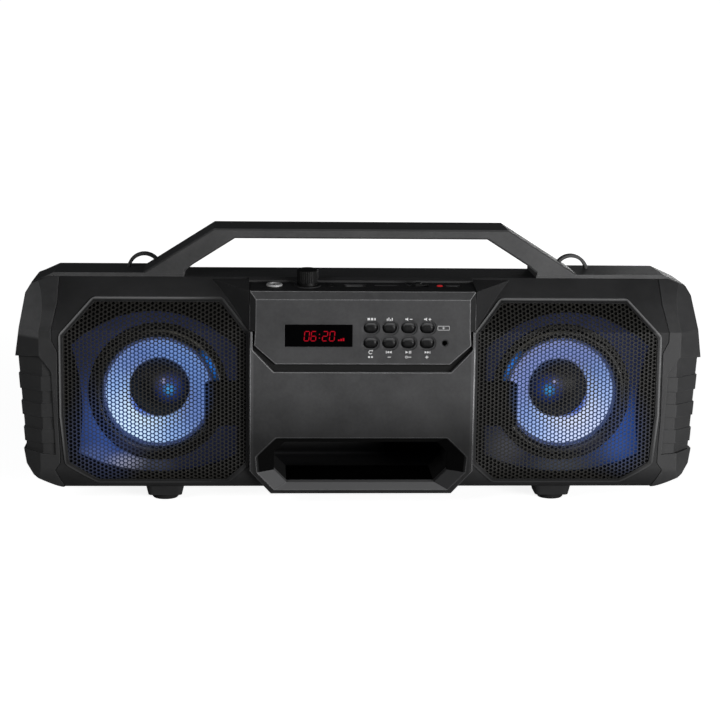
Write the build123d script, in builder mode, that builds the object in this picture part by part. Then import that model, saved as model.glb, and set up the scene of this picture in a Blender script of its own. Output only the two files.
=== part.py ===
"""Portable boombox: two full-range drivers, a bass port, a control fascia and a fixed carry handle.

Millimetres. Facing the front, +X is to the right, -Y is the front and +Z is up. The origin is
the middle of the footprint, on the surface that the feet stand on.
"""
from build123d import *
import os

os.makedirs("parts", exist_ok=True)

CUT = Mode.SUBTRACT
MEET = Mode.INTERSECT
APART = Mode.PRIVATE

# ---------------------------------------------------------------- driving dimensions
half_width = 239.0       # the end caps' widest point
z_handle = 190.0         # top of the handle
y_pod = -52.0            # front plane of the speaker pods
y_fascia = -60.0         # front plane of the centre fascia
y_back = 60.0            # back face
z_bottom = 10.0          # underside of the housing
z_crease = 122.5         # the front leans back above this line
z_top = 156.4            # flat top of the housing
z_plate = 159.0          # top of the handle's base plates
y_top_front = -24.0      # front edge of the flat top
y_top_rear = 24.0        # rear edge of the flat top
wall = 2.8
joint_line = 0.3         # gap between separate mouldings
x_seam = 209.0           # the housing ends and the end caps begin
x_center = 77.5          # half-width of the centre fascia
x_shoulder = 104.0       # where the centre's shoulders run out on the pods
y_parting = 4.0          # the front shell meets the rear shell
z_deck = 151.5           # front edge of the control deck
y_deck_rear = -30.0      # rear edge of the control deck
bezel_w = 3.0            # rim round each grille

driver_x = 140.5
driver_z = 78.0
y_baffle = -38.0         # the driver's flange sits on this plane
flange_r = 48.4
cone_r = 38.0
dome_r = 20.5
coil_r = 12.7

y_handle_front = -25.4
y_handle_rear = 22.0
x_foot = 123.4           # inner end of the handle's feet and base plates

button_w = 9.4
button_h = 6.8
button_pitch = 12.9
button_row_pitch = 10.5
button_x = 5.2           # first column
button_z = 116.2         # lower row
button_gap = 0.35
dome_round = 2.2         # radius of a button's rounded front edge
panel_t = 3.6
y_board = -48.6          # front face of the button board

knob_x = -37.7
knob_r = 7.4
knob_h = 10.6

screw_spots = [(199, 133), (198, 21), (85, 21), (85, 134)]
screw_places = [(side * x, z) for side in (-1, 1) for x, z in screw_spots]
foot_rows = (-27.0, 36.0)
y_amplifier = 41.6       # rear face of the amplifier board
board_posts = [(-50, 102), (50, 102), (-50, 132), (50, 132)]
lug_x = 152.0
foot_x = 136.5


# ---------------------------------------------------------------- helpers
def keep(part, label):
    """Name one finished sub-part and write it."""
    part.label = label
    export_step(part, "parts/" + label + ".step")


def housing(grow, x_from, x_to):
    """The housing's side outline, grown outwards by grow, run from x_from to x_to."""
    with BuildPart(mode=APART) as body:
        with BuildSketch(Plane.YZ.offset(x_from)):
            with BuildLine():
                bottom = Line((y_pod + 16, z_bottom), (y_back - 14, z_bottom))
                ThreePointArc(bottom @ 1, (y_back - 4.1, z_bottom + 4.1), (y_back, z_bottom + 14))
                Line((y_back, z_bottom + 14), (y_back, 112))
                ThreePointArc((y_back, 112), (y_back - 13.5, 139.6), (y_top_rear, z_top))
                Line((y_top_rear, z_top), (y_top_front, z_top))
                ThreePointArc((y_top_front, z_top), (y_pod + 12.4, 141.3), (y_pod, z_crease))
                Line((y_pod, z_crease), (y_pod, z_bottom + 17))
                ThreePointArc((y_pod, z_bottom + 17), (y_pod + 4.4, z_bottom + 5.4), bottom @ 0)
            make_face()
            if grow:
                offset(amount=grow, kind=Kind.INTERSECTION)
        extrude(amount=x_to - x_from)
    return body.part


def front_prism(points, y_from=-70.0, y_to=70.0):
    """An outline given as (x, z) on the front view, run from y_from back to y_to."""
    with BuildPart(mode=APART) as prism:
        with BuildSketch(Plane.XZ.offset(-y_from)):
            with BuildLine():
                Polyline(*points, close=True)
            make_face()
        extrude(amount=y_from - y_to)
    return prism.part


def side_prism(points, x_from, x_to):
    """An outline given as (y, z) on the side view, run from x_from to x_to."""
    with BuildPart(mode=APART) as prism:
        with BuildSketch(Plane.YZ.offset(x_from)):
            with BuildLine():
                Polyline(*points, close=True)
            make_face()
        extrude(amount=x_to - x_from)
    return prism.part


def plan_prism(points, z_from=0.0, z_to=200.0):
    """An outline given as (x, y) on the plan, run from z_from to z_to."""
    with BuildPart(mode=APART) as prism:
        with BuildSketch(Plane.XY.offset(z_from)):
            with BuildLine():
                Polyline(*points, close=True)
            make_face()
        extrude(amount=z_to - z_from)
    return prism.part


def both_sides(points):
    """The right half of an outline, joined to its mirror image."""
    return points + [(-x, z) for x, z in reversed(points)]


def block(x, y, z):
    """A block between the low and high values of x, y and z."""
    with BuildPart(mode=APART) as box:
        with Locations(((x[0] + x[1]) / 2, (y[0] + y[1]) / 2, (z[0] + z[1]) / 2)):
            Box(x[1] - x[0], y[1] - y[0], z[1] - z[0])
    return box.part


def bar(start, radius, length, direction=(0, 1, 0)):
    """A round bar from start along direction."""
    with BuildPart(mode=APART) as round_bar:
        with BuildSketch(Plane(start, z_dir=direction)):
            Circle(radius)
        extrude(amount=length)
    return round_bar.part


def turned(x, z, outline):
    """A part turned about the line along Y through x, z, from an outline of (radius, y)."""
    with BuildPart(mode=APART) as round_part:
        with BuildSketch(Plane((x, 0, z))):
            with BuildLine():
                Polyline(*outline, close=True)
            make_face()
        revolve(axis=Axis((x, 0, z), (0, 1, 0)))
    return round_part.part


def pill(x, z, w, h, y_from, y_to):
    """A bar of pill-shaped section along Y."""
    with BuildPart(mode=APART) as pill_bar:
        with BuildSketch(Plane((x, y_from, z), x_dir=(1, 0, 0), z_dir=(0, 1, 0))):
            SlotOverall(w, h)
        extrude(amount=y_to - y_from)
    return pill_bar.part


def left_of(part):
    return part.mirror(Plane.YZ)


def keep_pair(part, label):
    """Write the right-hand part and its mirror image for the left."""
    keep(left_of(part), "left_" + label)
    keep(part, "right_" + label)


# ---------------------------------------------------------------- shared shapes
def grille_prism(grow=0.0):
    """The right grille's opening, grown by grow, run through the pod's front."""
    with BuildPart(mode=APART) as prism:
        with BuildSketch(Plane.XZ.offset(72)):
            with BuildLine():
                Polyline((80, 121), (97.5, 141.2), (184, 141.2), (204.6, 119), (204.6, 64),
                         (201.6, 31.0), (181, 18.4), (93.5, 18.4), (80, 31.0), close=True)
            make_face()
            fillet(vertices(), 3.0)
            if grow:
                offset(amount=grow, kind=Kind.ARC)
        extrude(amount=-50)
    return prism.part


grille_opening = grille_prism()
bezel_opening = grille_prism(bezel_w)

# The housing's stepped ends, on the right half of the front view.
seam = [(x_seam, 200), (x_seam, 141), (212.5, 123), (212.5, 116), (208.6, 108),
        (208.6, 60), (207.5, 37), (207.5, 30), (211, 25), (206, 14), (206, 0)]
fascia_outline = both_sides([(x_center, z_deck), (x_center, 26.0), (62.6, 9.7)])
fascia_passage = both_sides([(x_center + 0.2, z_deck + 20), (x_center + 0.2, 25.9), (62.8, 9.5), (62.8, 8)])


def shoulder():
    """The wedge that flares from the centre fascia out onto the right pod's sloping front."""
    with BuildPart(mode=APART) as wedge:
        with BuildSketch(Plane.YZ.offset(x_center + 0.2)):
            with BuildLine():
                Polyline((y_fascia + 1.5, z_deck), (y_pod - 1, 121.5), (y_pod + 8, 121.5),
                         (y_top_front, z_top - 1), close=True)
            make_face()
        with BuildSketch(Plane.YZ.offset(x_shoulder)):
            with BuildLine():
                Polyline((y_top_front - 1.6, 155.0), (y_top_front - 1.4, 154.4),
                         (y_top_front - 0.6, 154.4), (y_top_front - 0.6, 155.2), close=True)
            make_face()
        loft(ruled=True)
    return wedge.part


def foot_holders(y):
    """The two tapered bosses under the housing that carry one row of feet."""
    with BuildPart(mode=APART) as bosses:
        for side in (-1, 1):
            with BuildSketch(Plane.XY.offset(z_bottom + 0.5)):
                with Locations((side * foot_x, y)):
                    RectangleRounded(27, 25, 5)
            extrude(amount=-7, taper=14)
            with Locations((side * foot_x, y, 3.5)):
                Cylinder(4, 4, align=(Align.CENTER, Align.CENTER, Align.MIN), mode=CUT)
    return bosses.part


back_recess = front_prism(both_sides([(60, 128), (74, 114), (74, 46), (60, 32)]), y_back - 1.2, y_back + 5)


# ---------------------------------------------------------------- housing shells
with BuildPart(mode=APART) as housing_shell:
    add(housing(0, -214, 214))
    add(front_prism(both_sides(seam)), mode=MEET)
    add(housing(-wall, -204, 204), mode=CUT)

deck_hollow = side_prism([(-80, z_deck - 1), (y_deck_rear, z_deck - 0.8),
                          (y_deck_rear, 175), (-80, 175)], -x_center - 0.2, x_center + 0.2)
# The lip that runs down from the flat top to the deck's rear edge.
deck_lip = side_prism([(y_top_front + 1, z_top), (y_top_front, z_top), (y_deck_rear, 154.9),
                       (y_deck_rear, 150.5), (y_top_front + 1, 150.5)], -x_center - 0.5, x_center + 0.5)

with BuildPart() as front_shell:
    add(housing_shell.part)
    add(block((-230, 230), (y_parting, 90), (0, 200)), mode=CUT)
    for x, z in screw_places:
        add(bar((x, y_pod + 1, z), 4.6, y_parting - y_pod - 1))
    add(housing(0, -230, 230), mode=MEET)
    add(shoulder())
    add(left_of(shoulder()))
    add(deck_lip)
    add(bezel_opening, mode=CUT)
    add(left_of(bezel_opening), mode=CUT)
    add(front_prism(fascia_passage, -80, y_pod + 12), mode=CUT)
    add(deck_hollow, mode=CUT)
    add(block((-74.5, 74.5), (-60, y_deck_rear - 1.5), (125, 165)), mode=CUT)
    for x, z in screw_places:
        add(bar((x, y_parting - 12, z), 1.3, 13), mode=CUT)
    add(foot_holders(foot_rows[0]))
keep(front_shell.part, "front_shell")

with BuildPart() as rear_shell:
    add(housing_shell.part)
    add(block((-230, 230), (-90, y_parting + joint_line), (0, 200)), mode=CUT)
    for x, z in screw_places:
        add(bar((x, y_parting + joint_line, z), 4.8, y_back - y_parting))
    for x, z in board_posts:
        add(bar((x, y_amplifier, z), 3.2, y_back - y_amplifier))
    add(housing(0, -230, 230), mode=MEET)
    add(back_recess, mode=CUT)
    for x, z in screw_places:
        add(bar((x, y_parting, z), 1.7, 70), mode=CUT)
        add(bar((x, y_parting + 12, z), 3.3, 60), mode=CUT)
    add(foot_holders(foot_rows[1]))
keep(rear_shell.part, "rear_shell")

with BuildPart() as shell_screws:
    for x, z in screw_places:
        add(turned(x, z, [(0, y_parting - 9), (1.25, y_parting - 9), (1.25, y_parting + 12),
                          (2.9, y_parting + 12), (2.9, y_parting + 14.2), (0, y_parting + 14.2)]))
keep(shell_screws.part, "shell_screws")


# ---------------------------------------------------------------- end caps
def above_facet(inset):
    """The space outside the right end cap's slanted upper facet, moved in by inset."""
    facet = Plane((220.6, y_pod - 1, z_crease), z_dir=(0.6, -0.65, 0.467))
    with BuildPart(mode=APART) as space:
        with BuildSketch(facet.offset(-inset)):
            Rectangle(160, 160)
        extrude(amount=60)
    return space.part


def cap_envelope(inset):
    """The right end cap's chamfered block, with every face moved in by inset."""
    front, rear = y_pod + inset, y_back - inset
    with BuildPart(mode=APART) as cap:
        add(housing(0.5 - inset, 200, 245))
        add(front_prism([(200, 0), (205.5, 9.3), (226.5 - inset, 21 + inset), (231.7 - inset, 28 + inset),
                         (233.6 - inset, 38), (half_width - inset, 103), (232.6 - inset, 145),
                         (228.8 - inset, 151.2 - inset), (213, 158 - inset), (200, 163 - inset)]), mode=MEET)
        add(plan_prism([(200, front - 4), (220.6 - inset, front - 1), (half_width - inset, front + 16),
                        (half_width - inset, rear - 20), (221 - inset, rear + 1), (200, rear + 4)]),
            mode=MEET)
        add(above_facet(inset), mode=CUT)
    return cap.part


grip_depth = 1.9
grip_bands = ((80.6, 91.0), (62.4, 71.8), (44.0, 53.6))
# The grip zone on the front view, sunk below the cap's main faces.
grip_zone = front_prism([(210.5, 36), (213, 94), (221, 105), (250, 101), (250, 40)])


def grip_skin():
    """What the grip zone takes off the cap."""
    with BuildPart(mode=APART) as skin:
        add(grip_zone)
        add(cap_envelope(grip_depth), mode=CUT)
    return skin.part


def grip_pad(low, high):
    """One raised grip band, between two heights at its inner end."""
    with BuildPart(mode=APART) as pad:
        add(cap_envelope(grip_depth - 0.8))
        add(front_prism([(211, low), (211, high), (250, high - 1), (250, low - 1)]), mode=MEET)
        add(cap_envelope(grip_depth + 1), mode=CUT)
    return pad.part


def handle_base(grow=0.0):
    """The right base plate under the handle's foot, and its end folded down over the end cap."""
    front, rear = y_top_front - 0.6 - grow, y_top_rear + grow
    with BuildPart(mode=APART) as base:
        add(block((x_foot - 0.4, 213.0), (front, rear), (z_top - grow, z_plate)))
        add(front_prism([(212.9, z_plate + grow), (213.2, z_top + 0.2 - grow),
                         (226.2, 150.6 - grow), (228.4 + grow, 152.0)], front, rear))
        add(above_facet(-1.2 - grow), mode=CUT)
    return base.part


with BuildPart() as end_cap:
    add(cap_envelope(0))
    add(front_prism([(x + joint_line, z) for x, z in seam] + [(180, 0), (180, 200)]), mode=CUT)
    add(grip_skin(), mode=CUT)
    for low, high in grip_bands:
        add(grip_pad(low, high))
    add(cap_envelope(7), mode=CUT)
    add(handle_base(0.2), mode=CUT)
keep_pair(end_cap.part, "end_cap")

# ---------------------------------------------------------------- carry handle and strap lugs
with BuildPart() as carry_handle:
    with BuildSketch(Plane.XZ.offset(-y_handle_front)):
        with BuildLine():
            Polyline(*both_sides([(102.5, z_handle), (152.5, z_plate - 0.6), (x_foot, z_plate - 0.6),
                                  (x_foot, z_plate + 0.5), (117.0, 164.8), (87.8, 183.3)]), close=True)
        make_face()
        fillet(vertices().filter_by(lambda v: v.Z > 162), 2.0)
    extrude(amount=y_handle_front - y_handle_rear)
    chamfer(faces().filter_by(Axis.Y).edges().filter_by(lambda e: e.center().Z > z_plate + 1), 1.3)
    add(handle_base())
    add(left_of(handle_base()))
keep(carry_handle.part, "carry_handle")

with BuildPart() as strap_lug:
    with BuildSketch(Plane((lug_x, 5, z_plate - 2.0), x_dir=(1, 0, 0), z_dir=(0, 1, 0))):
        Circle(12.4)
        Circle(10.0, mode=CUT)
    extrude(amount=6)
    chamfer(edges().filter_by(GeomType.CIRCLE), 0.6)
    add(carry_handle.part, mode=CUT)
    add(block((lug_x - 20, lug_x + 20), (0, 20), (100, z_plate)), mode=CUT)
keep_pair(strap_lug.part, "strap_lug")


# ---------------------------------------------------------------- grilles, bezels and baffles
def front_skin(outside, inside):
    """A layer that follows the pods' front, from outside to inside of the housing's surface."""
    with BuildPart(mode=APART) as layer:
        add(housing(outside, 70, 215))
        add(housing(inside, 60, 220), mode=CUT)
        add(block((0, 300), (-22, 90), (0, 200)), mode=CUT)
    return layer.part


with BuildPart() as bezel:
    add(front_skin(1.0, -3.2))
    add(bezel_opening, mode=MEET)
    add(grille_opening, mode=CUT)
    add(front_prism([(0, 0), (0, 200), (x_center + 0.2, 200), (x_center + 0.2, 0)]), mode=CUT)
keep_pair(bezel.part, "grille_bezel")

with BuildPart() as grille:
    add(front_skin(0.2, -1.0))
    add(grille_opening, mode=MEET)
keep_pair(grille.part, "grille")


def shield(grow=0.0):
    """The outline of the recess round the right driver: arched top and foot, hollow outer side."""
    with BuildSketch(Plane.XZ, mode=APART) as outline:
        with BuildLine():
            top = ThreePointArc((86, 111), (142, 135), (200, 112))
            outer = ThreePointArc(top @ 1, (193, 78), (195.5, 36))
            foot = ThreePointArc(outer @ 1, (142, 23), (86, 35))
            Line(foot @ 1, top @ 0)
        make_face()
        if grow:
            offset(amount=grow, kind=Kind.ARC)
    return outline.sketch


def bowl(grow, y_from, y_to):
    """The shield-shaped space in front of the driver."""
    with BuildPart(mode=APART) as space:
        with BuildSketch(Plane.XZ.offset(-y_from)):
            add(shield(grow))
        extrude(amount=y_from - y_to)
    return space.part


lamp_block = block((84.5, 108.7), (-50.3, -44.6), (56, 87))

with BuildPart() as baffle:
    # Front skin with the shield-shaped window, a wall round it, and the plate for the driver.
    add(front_skin(-1.6, -3.8))
    add(bowl(2.2, y_pod, y_baffle + 3))
    add(housing(-1.6, 60, 215), mode=MEET)
    add(grille_opening, mode=MEET)
    add(bowl(0.0, y_pod - 5, y_baffle), mode=CUT)
    add(bar((driver_x, y_baffle - 5, driver_z), 46.2, 20), mode=CUT)
    add(lamp_block, mode=CUT)
keep_pair(baffle.part, "baffle")

with BuildPart() as led_lamp:
    add(lamp_block)
    fillet(edges().filter_by(Axis.Y).group_by(Axis.X)[-1], 4)
    chamfer(faces().sort_by(Axis.Y)[0].edges().filter_by(Axis.Z).sort_by(Axis.X)[-1], 1)
keep_pair(led_lamp.part, "led_lamp")

# ---------------------------------------------------------------- centre fascia and bass port
mouth = both_sides([(60.7, 50.4), (76.2, 35.6), (75.5, 24.8), (63.2, 11.4)])
throat = both_sides([(53.0, 44.0), (60.4, 37.4), (60.4, 24.2), (51.6, 15.2)])
y_mouth = y_fascia - 1.0
y_throat = -47.0
y_duct_end = 2.0
panel_edge = [(73.2, 146.0), (73.4, 124.5), (73.5, 124.0), (74.2, 114.4), (59.7, 101.5)]
panel_base = [(77.3, z_deck - 0.1), (77.3, 124.2), (75.0, 123.9), (75.0, 113.9), (60.2, 100.4)]
groove_edge = [(x_center + 5, 200), (x_center + 5, 123.6), (75.6, 123.6), (75.6, 111.0), (61.0, 95.7)]
y_panel_back = y_fascia + panel_t
y_floor_back = y_panel_back + 3.0


def outline_at(y, points, grow=0.0):
    """A front-view outline on the plane at y."""
    with BuildSketch(Plane.XZ.offset(-y), mode=APART) as sketch:
        with BuildLine():
            Polyline(*points, close=True)
        make_face()
        if grow:
            offset(amount=grow, kind=Kind.INTERSECTION)
    return sketch.sketch


def flare(grow=0.0):
    """The bass port's mouth, narrowing to its throat."""
    with BuildPart(mode=APART) as funnel:
        loft([outline_at(y_mouth - grow, mouth, grow), outline_at(y_throat, throat, grow)], ruled=True)
        extrude(outline_at(y_throat, throat, grow), amount=y_throat - (y_pod + 12))
    return funnel.part


# The lower face of the fascia bows back a little towards the bottom lip.
fascia_bow = side_prism([(y_fascia, 100), (y_fascia + 0.7, 60), (y_fascia + 2.6, 9.5), (-30, 9.5),
                         (-30, 149), (y_fascia, 149)], -90, 90)
field = (button_x - 8, button_x + 3 * button_pitch + 8)
field_z = (button_z - 7, button_z + button_row_pitch + 7)
display_x = (-53.5, -7.3)
display_z = (113.5, 128.8)
mic_place = (56.0, 116.2)
mic_r = 1.9

with BuildPart() as center_fascia:
    add(front_prism(fascia_outline, y_fascia, y_pod + 12))
    add(block((-90, 90), (-70, -20), (148.7, 200)), mode=CUT)
    add(fascia_bow, mode=MEET)
    chamfer(edges().filter_by(Axis.Z).group_by(Axis.Y)[0], 0.6)
    add(front_prism(both_sides(groove_edge), y_fascia - 1, y_panel_back), mode=CUT)
    add(front_prism(both_sides([(74.9, 160), (74.9, 27.1), (61.4, 12.3)]), y_floor_back, 0), mode=CUT)
    add(flare(2.2))
    add(block((-80, 80), (-90, 0), (0, 9.7)), mode=CUT)
    add(fascia_bow, mode=MEET)
    add(flare(), mode=CUT)
    add(block(field, (-70, -50), field_z), mode=CUT)
    add(block((display_x[0] + 0.8, display_x[1] - 0.8), (-70, -50), (display_z[0] + 0.8, display_z[1] - 0.8)),
        mode=CUT)
    for x, z in ((-66, 105), (-66, 140), (66, 105), (66, 140)):
        add(bar((x, y_floor_back - 0.5, z), 2.6, y_board - y_floor_back + 0.5))
    add(bar((mic_place[0], -70, mic_place[1]), mic_r - 0.6, 25), mode=CUT)
keep(center_fascia.part, "center_fascia")

buttons = [(button_x + column * button_pitch, button_z + row * button_row_pitch, row, column)
           for row in (1, 0) for column in range(4)]

with BuildPart() as control_panel:
    loft([outline_at(y_fascia, both_sides(panel_edge)), outline_at(y_fascia + 2.6, both_sides(panel_base))],
         ruled=True)
    add(front_prism(both_sides(panel_base), y_fascia + 2.6, y_panel_back))
    for x, z, row, column in buttons:
        add(pill(x, z, button_w + 3.0, button_h + 3.0, y_fascia - 1, y_fascia + 0.6), mode=CUT)
        add(pill(x, z, button_w + 2 * button_gap, button_h + 2 * button_gap, -70, -50), mode=CUT)
    add(block(display_x, (-70, -50), display_z), mode=CUT)
    add(bar((mic_place[0], -70, mic_place[1]), mic_r, 25), mode=CUT)
    add(bar((mic_place[0], y_fascia - 1, mic_place[1]), mic_r + 0.6, 1.3), mode=CUT)
keep(control_panel.part, "control_panel")

with BuildPart() as port_duct:
    extrude(outline_at(y_pod + 12, throat, 2.2), amount=y_pod + 12 - y_duct_end)
    extrude(outline_at(y_pod + 12, throat), amount=y_pod + 12 - y_duct_end, mode=CUT)
    add(housing(-wall - 0.2, -100, 100), mode=MEET)
keep(port_duct.part, "port_duct")

# ---------------------------------------------------------------- display and buttons
with BuildPart() as display_window:
    add(block((display_x[0] + 0.05, display_x[1] - 0.05), (y_fascia + 0.1, y_fascia + 1.8),
              (display_z[0] + 0.05, display_z[1] - 0.05)))
    chamfer(faces().sort_by(Axis.Y)[0].edges(), 0.3)
keep(display_window.part, "display_window")

with BuildPart() as display_module:
    add(block((display_x[0] + 1.2, display_x[1] - 1.2), (y_fascia + 1.9, y_board),
              (display_z[0] + 1.2, display_z[1] - 1.2)))
    for x in (-44, -18):
        for z in (116, 126):
            add(bar((x, y_board - 1, z), 0.5, 3.4))
keep(display_module.part, "display_module")

with BuildPart() as button_board:
    add(block((-70, 70), (y_board, y_board + 1.6), (102, 143)))
    for x in (-44, -18):
        for z in (116, 126):
            add(bar((x, y_board - 1, z), 0.5, 8), mode=CUT)
keep(button_board.part, "button_board")

with BuildPart() as tact_switches:
    for x, z, row, column in buttons:
        with Locations((x, y_board - 1.75, z)):
            Box(6, 3.5, 6)
        add(bar((x, y_board - 4.3, z), 1.7, 1.0))
keep(tact_switches.part, "tact_switches")

button_names = {(1, 0): "mode", (1, 1): "equalizer", (1, 2): "volume_down", (1, 3): "volume_up",
                (0, 0): "repeat", (0, 1): "previous", (0, 2): "play_pause", (0, 3): "next"}
y_flange = y_panel_back + 0.3
for x, z, row, column in buttons:
    with BuildPart() as button:
        add(pill(x, z, button_w, button_h, y_fascia - 0.5, y_flange))
        fillet(faces().sort_by(Axis.Y)[0].edges(), dome_round)
        add(pill(x, z, button_w + 2.2, button_h + 2.0, y_flange, y_flange + 1.0))
        add(bar((x, y_flange + 1.0, z), 1.8, y_board - 5.2 - y_flange - 1.0))
    keep(button.part, button_names[row, column] + "_button")

# ---------------------------------------------------------------- control deck
deck_lean = Plane((0, y_fascia + panel_t + 0.2, z_deck), x_dir=(1, 0, 0),
                  z_dir=(0, -2.4, 30.2))      # the deck climbs 2.4 in 30.2 to the rear
deck_depth = 26.0
y_controls = 16.6        # from the deck's front edge to the line of controls
deck_plane = Plane(deck_lean.from_local_coords(Vector(0, y_controls, 0)), x_dir=(1, 0, 0),
                   z_dir=deck_lean.z_dir)
deck_axis = Axis(deck_plane.origin, deck_plane.z_dir)
jack_x, aux_x, usb_x, card_x, switch_x, lamp_x, charge_x = -60.6, -21.6, -4.7, 17.1, 38.8, 53.8, 63.2


def on_deck(x, up=0.0, along=0.0):
    """A plane on the control line, lying flat on the deck, at x."""
    spot = deck_plane.from_local_coords(Vector(x, along, up))
    return Plane(spot, x_dir=(1, 0, 0), z_dir=deck_plane.z_dir)


def deck_block(x, size_x, size_y, low, high):
    """A block on the control line, between two heights above the deck's face."""
    with BuildPart(mode=APART) as piece:
        with BuildSketch(on_deck(x, low)):
            Rectangle(size_x, size_y)
        extrude(amount=high - low)
    return piece.part


def deck_bar(x, radius, low, high):
    """A round bar on the control line, between two heights above the deck's face."""
    with BuildPart(mode=APART) as piece:
        with BuildSketch(on_deck(x, low)):
            Circle(radius)
        extrude(amount=high - low)
    return piece.part


with BuildPart() as top_deck:
    with BuildSketch(deck_lean):
        with Locations((0, deck_depth / 2)):
            Rectangle(2 * x_center - 0.2, deck_depth)
    extrude(amount=-2.6)
    add(deck_bar(knob_x, 9.3, -0.5, 0.6))
    add(deck_bar(knob_x, 3.6, -5, 5), mode=CUT)
    add(deck_bar(jack_x, 4.7, -5, 5), mode=CUT)
    add(deck_bar(aux_x, 3.2, -5, 5), mode=CUT)
    add(deck_block(usb_x, 15.0, 8.0, -5, 5), mode=CUT)
    add(deck_block(card_x, 16.4, 3.6, -1.2, 5), mode=CUT)
    add(deck_block(card_x, 12.6, 2.2, -5, 5), mode=CUT)
    add(deck_block(switch_x, 14.8, 6.4, -1.0, 5), mode=CUT)
    add(deck_block(switch_x - 2, 9.6, 4.4, -5, 5), mode=CUT)
    add(deck_bar(lamp_x, 2.3, -5, 5), mode=CUT)
    add(deck_block(charge_x, 10.4, 5.0, -5, 5), mode=CUT)
keep(top_deck.part, "top_deck")

with BuildPart() as microphone_jack:
    add(deck_bar(jack_x, 4.6, -2.6, 0.1))
    add(deck_bar(jack_x, 5.5, 0.0, 1.3))
    chamfer(edges().filter_by(GeomType.CIRCLE).group_by(deck_axis)[-1], 0.4)
    add(deck_bar(jack_x, 6.6, -22.0, -2.6))
    add(deck_bar(jack_x, 3.25, -18.0, 5), mode=CUT)
keep(microphone_jack.part, "microphone_jack")

with BuildPart() as aux_jack:
    add(deck_bar(aux_x, 3.1, -2.6, 0.3))
    add(deck_block(aux_x, 7.4, 8.0, -16.0, -2.6))
    add(deck_bar(aux_x, 1.8, -13.0, 5), mode=CUT)
keep(aux_jack.part, "aux_jack")

with BuildPart() as usb_socket:
    add(deck_block(usb_x, 14.4, 7.2, -16.0, -0.6))
    add(deck_block(usb_x, 12.8, 5.6, -14.0, 5), mode=CUT)
keep(usb_socket.part, "usb_socket")

with BuildPart() as card_socket:
    add(deck_block(card_x, 14.0, 4.2, -16.0, -2.7))
    add(deck_block(card_x, 11.4, 1.1, -14.0, 5), mode=CUT)
keep(card_socket.part, "card_socket")

with BuildPart() as charge_socket:
    add(deck_block(charge_x, 9.8, 4.4, -9.0, -0.5))
    add(deck_block(charge_x, 7.6, 2.6, -7.5, 5), mode=CUT)
keep(charge_socket.part, "charge_socket")

with BuildPart() as charge_light:
    add(deck_bar(lamp_x, 2.2, -4.5, 0.4))
    fillet(edges().filter_by(GeomType.CIRCLE).group_by(deck_axis)[-1], 0.7)
keep(charge_light.part, "charge_light")

with BuildPart() as power_switch:
    add(deck_block(switch_x - 2, 13.0, 6.0, -9.0, -3.6))
keep(power_switch.part, "power_switch")

with BuildPart() as power_slider:
    add(deck_block(switch_x, 4.1, 3.6, -3.4, 2.4))
    chamfer(faces().sort_by(deck_axis)[-1].edges(), 0.5)
keep(power_slider.part, "power_slider")

knob_base = 0.9
with BuildPart() as volume_control:
    add(deck_bar(knob_x, 3.5, -3.0, 0.4))
    add(deck_block(knob_x, 11.0, 10.0, -10.0, -2.7))
    add(deck_bar(knob_x, 2.55, -8.0, 5), mode=CUT)
keep(volume_control.part, "volume_control")

with BuildPart() as volume_shaft:
    add(deck_bar(knob_x, 2.5, -7.8, knob_base + knob_h - 3.0))
keep(volume_shaft.part, "volume_shaft")

with BuildPart() as volume_knob:
    add(deck_bar(knob_x, knob_r, knob_base, knob_base + knob_h))
    chamfer(edges().filter_by(GeomType.CIRCLE).group_by(deck_axis)[-1], 0.7)
    with BuildSketch(on_deck(knob_x, knob_base + 2.0)):
        with PolarLocations(knob_r + 0.1, 30):
            Circle(0.4)
    extrude(amount=knob_h, mode=CUT)
    add(deck_bar(knob_x, 2.5, knob_base - 1, knob_base + knob_h - 3.0), mode=CUT)
keep(volume_knob.part, "volume_knob")

# ---------------------------------------------------------------- drivers
y_plate = -5.0           # front of the magnet's top plate
y_seat = y_plate - 4.0   # the spider's seat in the basket

with BuildPart() as basket:
    add(turned(driver_x, driver_z, [
        (46.0, y_baffle - 2), (flange_r, y_baffle - 2), (flange_r, y_baffle), (46.0, y_baffle),
        (31.0, y_seat), (31.0, y_plate), (14.6, y_plate), (14.6, y_plate - 1.6), (29.2, y_plate - 1.6),
        (29.2, y_seat - 0.6), (44.6, y_baffle + 0.4)]))
    with BuildSketch(Plane.XZ.offset(33)):
        with Locations((driver_x, driver_z)):
            with PolarLocations(38, 6, start_angle=30):
                Rectangle(18, 22)
    extrude(amount=-19, mode=CUT)
keep_pair(basket.part, "driver_basket")

with BuildPart() as magnet:
    add(turned(driver_x, driver_z, [
        (13.6, y_plate), (33.0, y_plate), (33.0, y_plate + 4), (37.0, y_plate + 4), (37.0, y_plate + 17),
        (33.0, y_plate + 17), (33.0, y_plate + 21), (0, y_plate + 21), (0, y_plate), (11.9, y_plate),
        (11.9, y_plate + 17), (13.6, y_plate + 17)]))
keep_pair(magnet.part, "driver_magnet")

y_cone_front = y_baffle - 2.0
y_cone_neck = y_seat - 7.0
with BuildPart() as cone:
    add(turned(driver_x, driver_z, [
        (cone_r, y_cone_front), (cone_r + 1.4, y_cone_front), (cone_r + 1.4, y_cone_front + 0.7),
        (cone_r, y_cone_front + 0.7), (coil_r + 0.5, y_cone_neck + 0.8),
        (coil_r + 0.5, y_cone_neck)]))
keep_pair(cone.part, "cone")

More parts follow.
